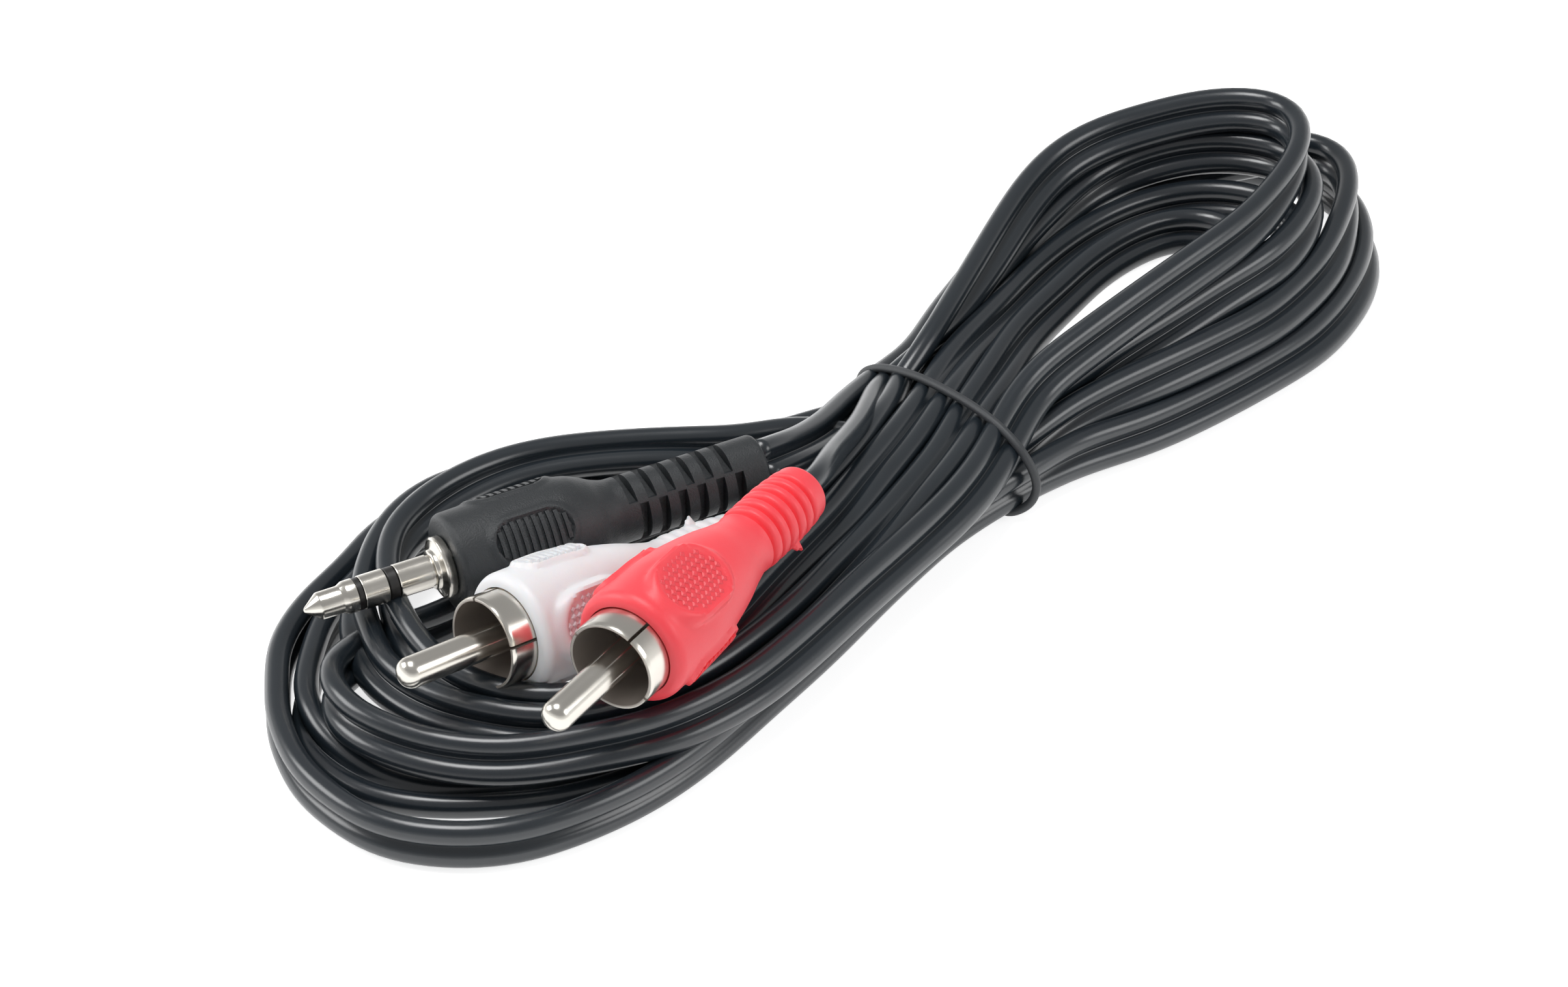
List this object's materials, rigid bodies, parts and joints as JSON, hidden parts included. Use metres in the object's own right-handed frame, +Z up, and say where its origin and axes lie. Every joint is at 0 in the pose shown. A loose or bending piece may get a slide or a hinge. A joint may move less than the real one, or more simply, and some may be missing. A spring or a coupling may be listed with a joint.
{
  "type": "stereo audio lead",
  "caption": "Black figure-8 audio lead wound in a hank with a thin elastic tie; a stereo mini plug at one end, white and red phono plugs at the other.",
  "frame": {"origin": "on the surface the hank lies on, under the middle of the whole lead", "axes": "+X along the hank from the loop under the plugs towards the far loop, +Z up"},
  "size_m": [0.1596, 0.0522, 0.0232],
  "materials": {
    "plated_metal": "bright nickel plate",
    "copper_wire": "bare copper strand",
    "insulator": "satin",
    "inner_mould": "matt",
    "black_grip": "fine matt texture",
    "red_boot": "satin",
    "white_boot": "satin",
    "black_cord": "gloss",
    "tie": "satin"
  },
  "bodies": {
    "root": {"jack_tip_contact": "plated_metal", "jack_ring_contact": "plated_metal", "jack_sleeve_contact": "plated_metal", "jack_ring_tag": "plated_metal", "jack_tip_tag": "plated_metal", "jack_sleeve_tag": "plated_metal", "jack_tip_insulator": "insulator", "jack_ring_insulator": "insulator", "jack_rear_washer": "insulator", "jack_tag_washer": "insulator", "jack_inner_mould": "inner_mould", "jack_grip": "black_grip", "jack_left_core": "copper_wire", "jack_right_core": "copper_wire", "jack_screen_core": "copper_wire", "red_plug_pin": "plated_metal", "red_plug_skirt": "plated_metal", "red_plug_insulator": "insulator", "red_plug_inner_mould": "inner_mould", "red_plug_boot": "red_boot", "red_plug_core_wire": "copper_wire", "red_plug_screen_wire": "copper_wire", "white_plug_pin": "plated_metal", "white_plug_skirt": "plated_metal", "white_plug_insulator": "insulator", "white_plug_inner_mould": "inner_mould", "white_plug_boot": "white_boot", "white_plug_core_wire": "copper_wire", "white_plug_screen_wire": "copper_wire", "cord_hank": "black_cord", "cord_jack_tail": "black_cord", "cord_red_tail": "black_cord", "cord_white_tail": "black_cord", "tie_band": "tie"}
  },
  "joints": []
}
